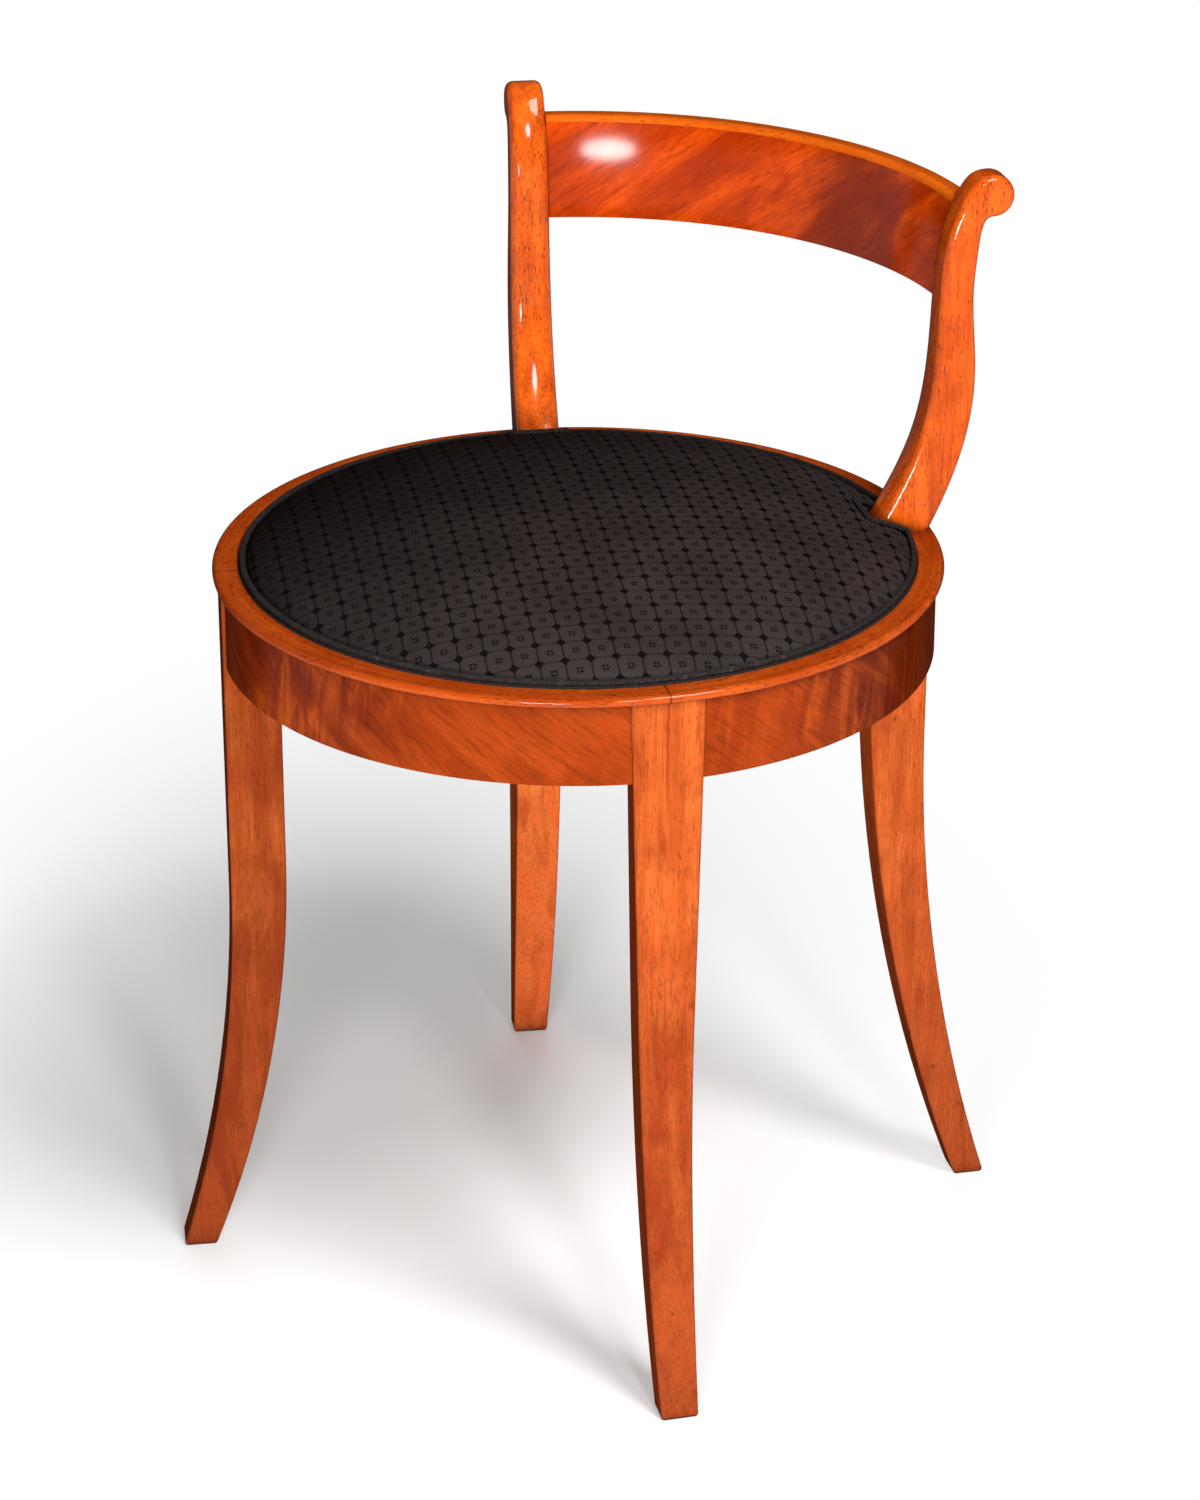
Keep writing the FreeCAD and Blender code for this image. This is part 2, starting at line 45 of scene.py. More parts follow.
# places that the dressing shares, read from the frame
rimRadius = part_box("seat_rim_right")[1].x
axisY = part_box("seat_rim_front")[0].y + rimRadius  # the seat's axis, in front of the footprint's middle
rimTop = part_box("seat_rim_front")[1].z
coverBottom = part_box("seat_cover")[0].z
legTurns = {"front_right": 48.2, "back_right": 137.7, "back_left": 222.3, "front_left": 311.8}
uprightTurns = {"right": legTurns["back_right"], "left": legTurns["back_left"]}
seatAxis = Vector((0, axisY, 0))


def around(turn, radius, level):  # azimuth 0 is the front
    angle = math.radians(turn)
    return Vector((radius * math.sin(angle), axisY - radius * math.cos(angle), level))


# node helpers

def feed(socket, value):
    if isinstance(value, bpy.types.NodeSocket):
        socket.id_data.links.new(value, socket)
    elif value is not None:
        socket.default_value = (*value, 1) if socket.type == "RGBA" and len(value) == 3 else value


def newNode(kind, values, keys=None, **settings):  # in the same tree as the first socket among the values
    tree = next(value.id_data for value in values if isinstance(value, bpy.types.NodeSocket))
    made = tree.nodes.new("ShaderNode" + kind)
    for label, setting in settings.items():
        setattr(made, label, setting)
    for key, value in zip(keys or range(len(values)), values):
        feed(made.inputs[key], value)
    return made


def calc(operation, *values):
    return newNode("Math", values, operation=operation).outputs[0]


def times(first, second):
    return calc("MULTIPLY", first, second)


def plus(first, second):
    return calc("ADD", first, second)


def minus(first, second):
    return calc("SUBTRACT", first, second)


def apart(first, second):
    return calc("ABSOLUTE", minus(first, second))


def spread(value, low, high, toLow=0.0, toHigh=1.0):
    return newNode("MapRange", (value, low, high, toLow, toHigh), interpolation_type="SMOOTHSTEP").outputs[0]


def moved(vector, scale=None, turn=None, shift=None):  # turns first, then stretches, then shifts
    turn = turn and [math.radians(angle) for angle in turn]
    for label, value in (("Rotation", turn), ("Scale", scale), ("Location", shift)):
        if value is not None:
            vector = newNode("Mapping", (vector, value), ("Vector", label)).outputs[0]
    return vector


def cloud(vector, form):  # noise, moved and sharpened as its dictionary says
    place = moved(vector, form.get("stretch"), form.get("turn"), form.get("shift"))
    values = (place, form["scale"], form["detail"], form.get("rough", 0.5), form.get("swirl", 0.0))
    value = newNode("TexNoise", values, ("Vector", "Scale", "Detail", "Roughness", "Distortion")).outputs[0]
    return spread(value, *form["range"]) if "range" in form else value


def cells(vector, scale):
    outputs = newNode("TexVoronoi", (vector, scale), ("Vector", "Scale")).outputs
    return outputs["Distance"], outputs["Color"]


def split(vector):
    return newNode("SeparateXYZ", (vector,)).outputs


def joined(*values):
    return newNode("CombineXYZ", values).outputs[0]


def grey(value):
    return newNode("CombineColor", (value, value, value)).outputs[0]


def tint(amount, first, second, mode="MIX"):
    return newNode("Mix", (amount, first, second), (0, 6, 7), data_type="RGBA", blend_type=mode,
                   clamp_result=True).outputs[2]


def bumped(height, distance, normal=None):
    keys = ("Height", "Distance", "Strength", "Normal")
    return newNode("Bump", (height, distance, 1.0, normal), keys).outputs[0]


def use(group, **values):
    return newNode("Group", list(values.values()), list(values), node_tree=group).outputs


def newGroup(name, inputs, outputs):
    group = bpy.data.node_groups.new(name, "ShaderNodeTree")
    for way, labels in (("INPUT", inputs), ("OUTPUT", outputs)):
        for label in labels:
            kind = "NodeSocketVector" if label in ("Vector", "Unrolled") else "NodeSocketFloat"
            group.interface.new_socket(label, in_out=way, socket_type=kind)
    return group, group.nodes.new("NodeGroupInput").outputs, group.nodes.new("NodeGroupOutput").inputs


def shaderOf(material):
    return material.node_tree.nodes["Principled BSDF"].inputs


def newMaterial(name, **values):
    material = bpy.data.materials.new(name)
    material.use_nodes = True
    for label, value in values.items():
        feed(shaderOf(material)[label.replace("_", " ")], value)
    return material, material.node_tree.nodes.new("ShaderNodeTexCoord").outputs["Object"]


def turnedAway(material):  # 0 where a face looks at the viewer, 1 where it is seen edge on
    return material.node_tree.nodes.new("ShaderNodeLayerWeight").outputs["Facing"]


def finish(material, colour, roughness, height, bump, shape=None):
    shader = shaderOf(material)
    feed(shader["Base Color"], colour)
    feed(shader["Roughness"], roughness)
    feed(shader["Normal"], bumped(height, bump, shape))
    return material


# shared effects

def makeRingPlace():  # unrolls the ring: arc length, distance from the axis, height
    group, given, out = newGroup("ringPlace", ("Vector", "Facing"), ("Unrolled", "Arc"))
    x, y, z = split(given["Vector"])
    deep = minus(axisY, y)
    angle = calc("ARCTAN2", times(x, given["Facing"]), times(deep, given["Facing"]))
    arc = times(angle, rimRadius)
    radius = calc("SQRT", plus(times(x, x), times(deep, deep)))
    feed(out["Unrolled"], joined(arc, radius, z))
    feed(out["Arc"], arc)
    return group


grainForm = {
    "Streak": {"stretch": (1, 1, 0.05), "scale": 130, "detail": 5, "rough": 0.65, "swirl": 0.5,
               "range": (0.34, 0.66)},
    "Fibre": {"stretch": (1, 1, 0.02), "scale": 1500, "detail": 2, "rough": 0.6},
    "Bands": {"stretch": (0.6, 0.6, 1), "scale": 38, "detail": 3, "rough": 0.55, "swirl": 0.6,
              "range": (0.3, 0.7)},
    "Mottle": {"stretch": (1, 1, 0.2), "scale": 58, "detail": 3, "rough": 0.55, "swirl": 0.7,
               "range": (0.3, 0.7)}}
poreForm = {
    "pores": {"stretch": (1, 1, 0.16), "scale": 1350, "detail": 1},
    "clumps": {"stretch": (1, 1, 0.3), "scale": 55, "detail": 2, "range": (0.35, 0.65, 0.06, 0.0)},
    "range": (0.57, 0.66)}


def makeGrain():  # straight grain along Z
    group, given, out = newGroup("straightGrain", ("Vector",), (*grainForm, "Pores"))
    for label, form in grainForm.items():
        feed(out[label], cloud(given["Vector"], form))
    pores = cloud(given["Vector"], poreForm["pores"])
    clumps = cloud(given["Vector"], poreForm["clumps"])
    feed(out["Pores"], spread(minus(pores, clumps), *poreForm["range"]))
    return group


flameForm = {
    "broad": {"stretch": (1, 1, 0.8), "turn": (0, 35, 0), "scale": 11, "detail": 2, "rough": 0.45,
              "swirl": 1.2},
    "plume": {"stretch": (1, 1, 0.26), "turn": (0, 55, 0), "scale": 40, "detail": 4, "rough": 0.55,
              "swirl": 0.9},
    "feather": {"stretch": (1, 1, 0.16), "turn": (0, -8, 0), "scale": 90, "detail": 4, "rough": 0.58,
                "swirl": 0.8},
    "where": {"shift": (5, 2, 1), "scale": 9, "detail": 1, "range": (0.42, 0.6)},  # feathers in places only
    "fibre": {"stretch": (1, 1, 0.06), "turn": (0, 48, 0), "scale": 1500, "detail": 2, "rough": 0.6},
    "vein": {"stretch": (1, 1, 0.1), "turn": (0, 52, 0), "scale": 420, "detail": 4, "rough": 0.65, "swirl": 0.4,
             "range": (0.5, 0.66)}}
flameMix = {"broad": 0.6, "fine": 0.4, "figureRange": (0.36, 0.64), "plumeRange": (0.36, 0.7)}


def makeFlame():  # crotch figure on the unrolled ring, X along and Z up
    group, given, out = newGroup("flameFigure", ("Vector", "Feathers"), ("Figure", "Plume", "Fibre", "Vein"))
    layers = {label: cloud(given["Vector"], form) for label, form in flameForm.items()}
    where = times(layers["where"], given["Feathers"])
    fine = plus(times(layers["plume"], minus(1.0, where)), times(layers["feather"], where))
    total = plus(times(layers["broad"], flameMix["broad"]), times(fine, flameMix["fine"]))
    feed(out["Figure"], spread(total, *flameMix["figureRange"]))
    feed(out["Plume"], spread(fine, *flameMix["plumeRange"]))
    feed(out["Fibre"], layers["fibre"])
    feed(out["Vein"], layers["vein"])
    return group


marksForm = {
    "ragged": {"scale": 700, "detail": 2, "depth": 0.16},
    "knock": {"stretch": (1, 1, 0.7), "scale": 58, "sizes": (0.03, 0.13), "pick": (0.54, 0.56),
              "fade": (0.3, 1.1, 1, 0)},
    "scratch": {"stretch": (2.6, 2.6, 0.3), "turn": (6, 11, 0), "scale": 62, "pick": (0.7, 0.72),
                "fade": (0.03, 0.08, 1, 0)}}


def makeMarks():  # old knocks and scratches
    group, given, out = newGroup("oldMarks", ("Vector",), ("Knocks", "Scratches"))
    ragged, knock, scratch = marksForm.values()
    rough = times(minus(cloud(given["Vector"], ragged), 0.5), ragged["depth"])
    near, pick = cells(moved(given["Vector"], knock["stretch"]), knock["scale"])
    size = spread(split(pick)[1], 0, 1, *knock["sizes"])
    chosen = spread(split(pick)[0], *knock["pick"])
    near = calc("DIVIDE", plus(near, rough), size)
    feed(out["Knocks"], times(chosen, spread(near, *knock["fade"])))
    near, pick = cells(moved(given["Vector"], scratch["stretch"], scratch["turn"]), scratch["scale"])
    chosen = spread(split(pick)[0], *scratch["pick"])
    feed(out["Scratches"], times(chosen, spread(near, *scratch["fade"])))
    return group


weaveForm = {
    "pitchAcross": 0.0143, "pitchAlong": 0.01565, "turn": 43.0,
    "wobble": {"scale": 420, "detail": 1}, "wobbleDepth": 0.12,
    "cornerSize": 0.22, "cornerSoft": (-0.04, 0.02), "lineWidth": 0.036, "lineSoft": (0.5, 1.5),
    "lineDepth": 0.3, "dotsOnLine": 7.0, "dotRange": (0.1, 0.6),
    "crossGap": 0.075, "crossDot": 0.05, "crossSoft": (0.7, 1.25),
    "dashAt": 0.16, "dashSlim": 1.6, "dashRange": (0.018, 0.04, 0.45, 1),
    "thread": {"stretch": (1, 0.12, 1), "scale": 2600, "detail": 1, "rough": 0.6}}


def makeTileWeave():  # rounded tiles with a small cross, dark diamonds between them
    form = weaveForm
    group, given, out = newGroup("tileWeave", ("Vector",), ("Hair", "Thread"))
    turned = moved(given["Vector"], turn=(0, 0, -form["turn"]))
    wobble = cloud(given["Vector"], form["wobble"])
    x, y, _ = split(turned)
    across = calc("FRACT", calc("DIVIDE", x, form["pitchAcross"]))
    along = calc("FRACT", calc("DIVIDE", y, form["pitchAlong"]))
    p, q = apart(across, 0.5), apart(along, 0.5)
    corner = minus(1.0, plus(p, q))
    corner = plus(corner, times(minus(wobble, 0.5), form["wobbleDepth"]))
    hair = spread(corner, *(form["cornerSize"] + soft for soft in form["cornerSoft"]))
    for side, run, dotted in ((p, along, False), (q, across, True)):
        line = spread(minus(0.5, side), *(form["lineWidth"] * soft for soft in form["lineSoft"]))
        if dotted:
            beat = calc("SINE", times(run, form["dotsOnLine"] * 2 * math.pi))
            line = calc("MAXIMUM", line, spread(beat, *form["dotRange"]))
        hair = times(hair, spread(line, 0, 1, form["lineDepth"], 1))
    dots = calc("MAXIMUM", *(apart(side, form["crossGap"]) for side in (p, q)))
    hair = times(hair, spread(dots, *(form["crossDot"] * soft for soft in form["crossSoft"])))
    for side, other in ((p, q), (q, p)):  # short dashes around the four dots
        dash = calc("MAXIMUM", times(other, form["dashSlim"]), apart(side, form["dashAt"]))
        hair = times(hair, spread(dash, *form["dashRange"]))
    feed(out["Hair"], hair)
    feed(out["Thread"], cloud(turned, form["thread"]))
    return group


plainForm = {"gapRange": (0.3, 0.6, 1, 0)}


def makePlainWeave():  # over and under threads in X and Y
    group, given, out = newGroup("plainWeave", ("Vector", "Pitch"), ("Thread", "Gap"))
    x, y, _ = split(given["Vector"])
    u, v = (calc("DIVIDE", side, given["Pitch"]) for side in (x, y))
    warp, weft = (calc("ABSOLUTE", calc("SINE", times(side, math.pi))) for side in (u, v))
    parity = calc("MODULO", plus(calc("FLOOR", u), calc("FLOOR", v)), 2.0)
    parity = calc("ABSOLUTE", parity)
    lifted = plus(times(warp, parity), times(weft, minus(1.0, parity)))
    feed(out["Thread"], lifted)
    feed(out["Gap"], spread(calc("MAXIMUM", warp, weft), *plainForm["gapRange"]))
    return group


ringPlace = makeRingPlace()
straightGrain = makeGrain()
flameFigure = makeFlame()
oldMarks = makeMarks()
tileWeave = makeTileWeave()
plainWeave = makePlainWeave()
print("shared effects ready")


# wood finishes

# varnish deep and its ranges are painted shade on faces seen edge on
varnish = {"tint": (1.0, 0.3, 0.06), "deep": (0.07, 0.009, 0.002), "edgeShadeRange": (0.55, 0.95), "edgeShadeMost": 0.85,
           "coatRange": (0.35, 0.7), "coatLeast": 0.1, "sheenRange": (0.25, 0.6)}
cornerDustAndShade = {"reach": 0.011, "samples": 4, "range": (0.3, 0.9, 0.3, 1)}  # old wax and dust in the corners, with painted shade where corners and undersides are hidden from light
relief = {"fibre": 0.12, "pores": 0.4, "rougher": 0.12}


def newPolish(name, gloss):  # the shellac colours what it reflects
    return newMaterial(name, Coat_Roughness=gloss["coatRough"], Specular_Tint=varnish["tint"])


def finishWood(material, colour, height, roughness, bump, gloss=None, crown=None):
    shader = shaderOf(material)
    hidden = material.node_tree.nodes.new("ShaderNodeAmbientOcclusion")
    hidden.samples = cornerDustAndShade["samples"]
    hidden.inputs["Distance"].default_value = cornerDustAndShade["reach"]
    if gloss:  # where a face turns away, the varnish shines less, and its colour is darkened there as painted shade
        away = turnedAway(material)
        coat = gloss["coat"]
        feed(shader["Coat Weight"], spread(away, *varnish["coatRange"], coat, varnish["coatLeast"] * coat))
        feed(shader["Specular IOR Level"], spread(away, *varnish["sheenRange"], gloss["sheen"], 0.0))
        # painted shade: the colour goes towards varnish deep where a face is seen edge on
        colour = tint(spread(away, *varnish["edgeShadeRange"], 0, varnish["edgeShadeMost"]), colour, varnish["deep"])
    shape = None
    if crown is not None:  # faces scraped by hand are a little round
        shape = bumped(crown, 1.0)
        feed(shader["Coat Normal"], shape)
    # painted shade with real dust: ambient occlusion darkens the colour in corners, crevices and under parts
    dustAndShade = grey(spread(hidden.outputs["AO"], *cornerDustAndShade["range"]))
    return finish(material, tint(1.0, colour, dustAndShade, "MULTIPLY"), roughness, height, bump, shape)


def crowned(side, radius):
    return times(times(side, side), -0.5 / radius)


def woodBase(place, form):  # grain, first colours and wear
    grain = use(straightGrain, Vector=place)
    marks = use(oldMarks, Vector=place)
    colour = tint(times(grain["Streak"], form["streak"]), form["light"], form["mid"])
    colour = tint(times(grain["Bands"], form["bands"]), colour, form["mid"])
    worn = calc("MAXIMUM", marks["Knocks"], times(marks["Scratches"], form["scratches"]))
    return grain, colour, worn


def finishGrain(material, colour, grain, worn, gloss, crown=None):
    rough = spread(grain["Streak"], 0, 1, gloss["rough"], gloss["rough"] + relief["rougher"])
    height = minus(times(grain["Fibre"], relief["fibre"]), plus(times(grain["Pores"], relief["pores"]), worn))
    return finishWood(material, colour, height, rough, gloss["bump"], gloss, crown)


solidWood = {
    "light": (0.64, 0.13, 0.024), "mid": (0.38, 0.056, 0.008), "dark": (0.12, 0.014, 0.003),
    "low": (0.32, 0.05, 0.012), "blotch": (0.72, 0.56, 0.58), "glow": (1.16, 1.48, 1.4),
    "knock": (0.07, 0.014, 0.006), "foot": (0.13, 0.02, 0.006), "sole": (0.03, 0.008, 0.004),
    "shade": 1.0, "palest": 0.95, "streak": 0.7, "bands": 0.55,
    "lowAbove": 0.06, "lowBelow": 0.38, "lowMost": 0.72, "fibreRange": (0.35, 0.75, 0, 0.34), "pores": 0.28,
    "scratches": 0.7, "knocks": 0.85, "soleRange": (0.0004, 0.0024, 0.85, 0),
    "footAbove": 0.004, "footBelow": 0.06, "footMost": 0.22, "footWave": 0.015,
    "crackWave": 0.0012, "crackRange": (0.0003, 0.0008, 0.6, 0), "crackFade": 0.05, "crownRadius": None}


def makeSolidWood(name, turn, shift, gloss, looks, crackAbove=None):  # grain runs up the piece
    form = {**solidWood, **looks}
    # each piece's colours are scaled by its shade factor; for the legs this is painted light
    for part in ("light", "mid", "low"):
        form[part] = [min(form["palest"], form["shade"] * value) for value in form[part]]
    material, spot = newPolish(name, gloss)
    local = moved(moved(spot, shift=(0, -axisY, 0)), turn=(0, 0, -turn))
    place = moved(local, shift=shift)
    grain, colour, worn = woodBase(place, form)
    across, _, level = split(local)
    low = spread(level, form["lowAbove"], form["lowBelow"], form["lowMost"], 0)
    colour = tint(low, colour, form["low"])
    colour = tint(1.0, colour, tint(grain["Mottle"], form["blotch"], form["glow"]), "MULTIPLY")
    colour = tint(spread(grain["Fibre"], *form["fibreRange"]), colour, form["dark"])
    colour = tint(times(grain["Pores"], form["pores"]), colour, form["dark"])
    colour = tint(times(worn, form["knocks"]), colour, form["knock"])
    colour = tint(spread(level, *form["soleRange"]), colour, form["sole"])
    wavy = plus(level, times(grain["Bands"], form["footWave"]))
    foot = spread(wavy, form["footAbove"], form["footBelow"], form["footMost"], 0)
    colour = tint(foot, colour, form["foot"])
    if crackAbove:  # a shrinkage line in the face of the leg
        line = calc("ABSOLUTE", plus(across, times(grain["Bands"], form["crackWave"])))
        upper = spread(level, crackAbove, crackAbove + form["crackFade"])
        colour = tint(times(spread(line, *form["crackRange"]), upper), colour, form["dark"])
    crown = crowned(across, form["crownRadius"]) if form["crownRadius"] else None
    return finishGrain(material, colour, grain, worn, gloss, crown)


def dress(node, material):
    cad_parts[node].data.materials[0] = material


legGloss = {"coat": 0.05, "coatRough": 0.26, "rough": 0.48, "sheen": 0.12, "bump": 0.0005}
# painted light: each leg's colours are scaled for the light it gets; back_left is lifted out of the seat's
# shade, front_left darkened
legPaintedLight = {"front_right": 0.93, "back_right": 0.96, "back_left": 2.4, "front_left": 0.76}
legCracks = {"front_right": 0.36}  # the height where the crack starts
legStep = Vector((0.13, 0.07, 0.31))  # from one leg's place in the grain to the next
for index, (name, turn) in enumerate(legTurns.items()):
    dress("leg_" + name, makeSolidWood("polishedLeg_" + name, turn, legStep * index, legGloss,
                                       {"shade": legPaintedLight[name]}, legCracks.get(name)))

uprightGloss = {"coat": 0.35, "coatRough": 0.09, "rough": 0.42, "sheen": 0.1, "bump": 0.0003}
uprightLooks = {"light": (0.82, 0.128, 0.008), "mid": (0.42, 0.046, 0.003), "dark": (0.09, 0.009, 0.002),
                "blotch": (0.8, 0.7, 0.7), "glow": (1.1, 1.3, 1.2), "pores": 0.65, "lowBelow": 0.1,
                "footBelow": 0.005, "crownRadius": 0.05}
uprightShades = {"right": 1.0, "left": 1.28}
uprightPlaces = {"right": (0.4, 0.1, 0.05), "left": (0.6, 0.1, 0.45)}
for name, turn in uprightTurns.items():
    dress("upright_" + name, makeSolidWood("polishedUpright_" + name, turn, uprightPlaces[name], uprightGloss,
                                           {**uprightLooks, "shade": uprightShades[name]}))

ringWood = {"streak": 0.7, "bands": 0.4, "pores": 0.6, "scratches": 0.6, "worn": 0.7,
            "jointHalf": 0.0003, "jointSoft": 2.5, "jointMost": 0.8}
rimWood = {**ringWood, "light": (0.52, 0.084, 0.008), "mid": (0.26, 0.024, 0.001), "dark": (0.06, 0.006, 0.001)}
rimGloss = {"coat": 0.35, "coatRough": 0.09, "rough": 0.4, "sheen": 0.12, "bump": 0.0003}
crestWood = {**ringWood, "light": (0.68, 0.12, 0.005), "mid": (0.52, 0.075, 0.003),
             "dark": (0.14, 0.014, 0.001)}
crestEdgeGloss = {"coat": 0.06, "coatRough": 0.25, "rough": 0.45, "sheen": 0.1, "bump": 0.0003}


def makeRingWood(name, facing, shift, form, gloss, jointTurns=()):  # grain runs round the ring
    material, spot = newPolish(name, gloss)
    arc, radius, level = split(use(ringPlace, Vector=spot, Facing=facing)["Unrolled"])
    place = moved(joined(radius, level, arc), shift=shift)
    grain, colour, worn = woodBase(place, form)
    colour = tint(times(grain["Pores"], form["pores"]), colour, form["dark"])
    colour = tint(times(worn, form["worn"]), colour, form["dark"])
    half = form["jointHalf"]
    for turn in jointTurns:
        away = apart(arc, math.radians(turn) * rimRadius)
        joint = spread(away, half, half * form["jointSoft"], form["jointMost"], 0)
        colour = tint(joint, colour, form["dark"])
    return finishGrain(material, colour, grain, worn, gloss)


frontTurn, backTurn = legTurns["front_right"], legTurns["back_right"]
rimFront = makeRingWood("rimPolish", facing=1.0, shift=(0.1, 0, 0.2), form=rimWood, gloss=rimGloss,
                        jointTurns=(frontTurn, -frontTurn, backTurn, -backTurn))
rimBack = makeRingWood("rimPolishBack", facing=-1.0, shift=(0.3, 0, 0.6), form=rimWood, gloss=rimGloss,
                       jointTurns=(180 - backTurn, backTurn - 180))
for name in ("front", "right", "left"):
    dress("seat_rim_" + name, rimFront)
dress("seat_rim_back", rimBack)
dress("crest_rail", makeRingWood("crestPolish", facing=-1.0, shift=(0.2, 0.1, 0.9), form=crestWood,
                                 gloss=crestEdgeGloss))

apronLooks = {"light": (0.31, 0.039, 0.004), "glow": (0.58, 0.098, 0.009), "dark": (0.15, 0.012, 0.001),
              "deep": (0.06, 0.005, 0.001), "feathers": 1.0}
crestLooks = {"light": (0.58, 0.046, 0.001), "glow": (0.8, 0.095, 0.002), "dark": (0.47, 0.034, 0.001),
              "deep": (0.08, 0.006, 0.001), "feathers": 0.2}
apronGloss = {"coat": 0.06, "coatRough": 0.16, "rough": 0.44, "sheen": 0.1, "bump": 0.0002}
crestGloss = {"coat": 0.26, "coatRough": 0.12, "rough": 0.42, "sheen": 0.06, "bump": 0.0002,
              "crownRadius": 0.25, "crownLevel": 0.612}
figureForm = {"wildLeast": 0.3, "calmLight": 0.62, "glow": 0.6, "shade": 0.35, "heartWave": 0.012,
              "heartSoft": (0.1, 2.2), "fibreRange": (0.4, 0.8, 0, 0.42), "veins": 0.36,
              "knocks": 0.5, "scratches": 0.35, "worn": 0.6, "relief": 0.15, "rougher": 0.1}
veneerPlaces = {  # on the arc: middle and half length of the dark heart, which is partly dark figure and partly painted shade where an apron turns from the light, and where the figure is calm and wild
    "apron_veneer_front": {"facing": 1.0, "shift": (0.37, 0, 0.2), "heartAndShade": -0.175, "half": 0.06,
                           "darkest": 0.6, "calm": 0.06, "wild": -0.03},
    "apron_veneer_right": {"facing": 1.0, "shift": (1.1, 0.4, 0.5), "heartAndShade": 0.38, "half": 0.06,
                           "darkest": 0.75, "calm": 0.24, "wild": 0.31},
    "apron_veneer_back": {"facing": -1.0, "shift": (2.0, 0.2, 0.1), "heartAndShade": 0.06, "half": 0.05,
                          "darkest": 0.5, "calm": -0.12, "wild": 0.0},
    "apron_veneer_left": {"facing": 1.0, "shift": (3.1, 0, 0.8), "heartAndShade": -0.37, "half": 0.06,
                          "darkest": 0.7, "calm": -0.24, "wild": -0.31},
    "crest_veneer": {"facing": -1.0, "shift": (0.6, 0.3, 0.4), "heartAndShade": -0.052, "half": 0.034,
                     "darkest": 0.7, "calm": 0.4, "wild": 0.3}}


def makeVeneer(name, looks, gloss, where):
    form = figureForm
    material, spot = newPolish(name, gloss)
    ring = use(ringPlace, Vector=spot, Facing=where["facing"])
    place = moved(ring["Unrolled"], shift=where["shift"])
    figure = use(flameFigure, Vector=place, Feathers=looks["feathers"])
    marks = use(oldMarks, Vector=place)
    wild = spread(ring["Arc"], where["calm"], where["wild"], form["wildLeast"], 1.0)
    colour = tint(spread(wild, form["wildLeast"], 1, form["calmLight"], 0.0), looks["dark"], looks["light"])
    colour = tint(times(figure["Figure"], wild), colour, looks["light"])
    colour = tint(times(times(figure["Plume"], wild), form["glow"]), colour, looks["glow"])
    shade = times(times(minus(1.0, figure["Plume"]), wild), form["shade"])
    # painted shade with real figure: a dark band along the arc, also darkening apron ends turned from the light
    away = apart(ring["Arc"], where["heartAndShade"])
    away = plus(away, spread(figure["Plume"], 0, 1, -form["heartWave"], form["heartWave"]))
    heartAndShade = spread(away, *(soft * where["half"] for soft in form["heartSoft"]), where["darkest"], 0)
    colour = tint(calc("MAXIMUM", shade, heartAndShade), colour, looks["deep"])
    colour = tint(spread(figure["Fibre"], *form["fibreRange"]), colour, looks["deep"])
    colour = tint(times(figure["Vein"], form["veins"]), colour, looks["deep"])
    worn = calc("MAXIMUM", times(marks["Knocks"], form["knocks"]), times(marks["Scratches"], form["scratches"]))
    colour = tint(times(worn, form["worn"]), colour, looks["deep"])
    height = minus(times(figure["Fibre"], form["relief"]), worn)
    rough = spread(figure["Figure"], 0, 1, gloss["rough"], gloss["rough"] + form["rougher"])
    crown = None
    if "crownRadius" in gloss:
        crown = crowned(minus(split(spot)[2], gloss["crownLevel"]), gloss["crownRadius"])
    return finishWood(material, colour, height, rough, gloss["bump"], gloss, crown)


for name, where in veneerPlaces.items():
    if name == "crest_veneer":
        dress(name, makeVeneer("crestFlame", crestLooks, crestGloss, where))
    else:
        dress(name, makeVeneer(name.replace("apron_veneer", "apronFlame"), apronLooks, apronGloss, where))

sawnLooks = {"light": (0.42, 0.22, 0.1), "mid": (0.27, 0.125, 0.05), "band": (0.2, 0.09, 0.036), "bands": 0.4,
             "pore": (0.09, 0.035, 0.014), "pores": 0.6, "knock": (0.07, 0.03, 0.015), "knocks": 0.5,
             "sawSlope": 0.3, "sawScale": 2600, "fibre": 0.6, "saw": 0.12, "rough": (0.7, 0.85), "sheen": 0.3,
             "bump": 0.0006}


def makeSawnWood():  # inside faces that were never polished
    form = sawnLooks
    material, spot = newMaterial("sawnWood", Specular_IOR_Level=form["sheen"])
    arc, radius, level = split(use(ringPlace, Vector=spot, Facing=1.0)["Unrolled"])
    grain = use(straightGrain, Vector=joined(radius, level, arc))
    marks = use(oldMarks, Vector=spot)
    colour = tint(grain["Streak"], form["light"], form["mid"])
    colour = tint(times(grain["Bands"], form["bands"]), colour, form["band"])
    colour = tint(times(grain["Pores"], form["pores"]), colour, form["pore"])
    colour = tint(times(marks["Knocks"], form["knocks"]), colour, form["knock"])
    slope = plus(arc, times(level, form["sawSlope"]))
    saw = calc("SINE", times(slope, form["sawScale"]))
    height = plus(times(grain["Fibre"], form["fibre"]), times(saw, form["saw"]))
    rough = spread(grain["Streak"], 0, 1, *form["rough"])
    return finishWood(material, colour, height, rough, form["bump"])


ironLooks = {"metal": (0.2, 0.19, 0.18), "rust": (0.13, 0.055, 0.025), "metallic": 0.85,
             "rough": (0.38, 0.8), "bump": 0.0002,
             "patches": {"scale": 900, "detail": 4, "rough": 0.65, "range": (0.42, 0.66)}}


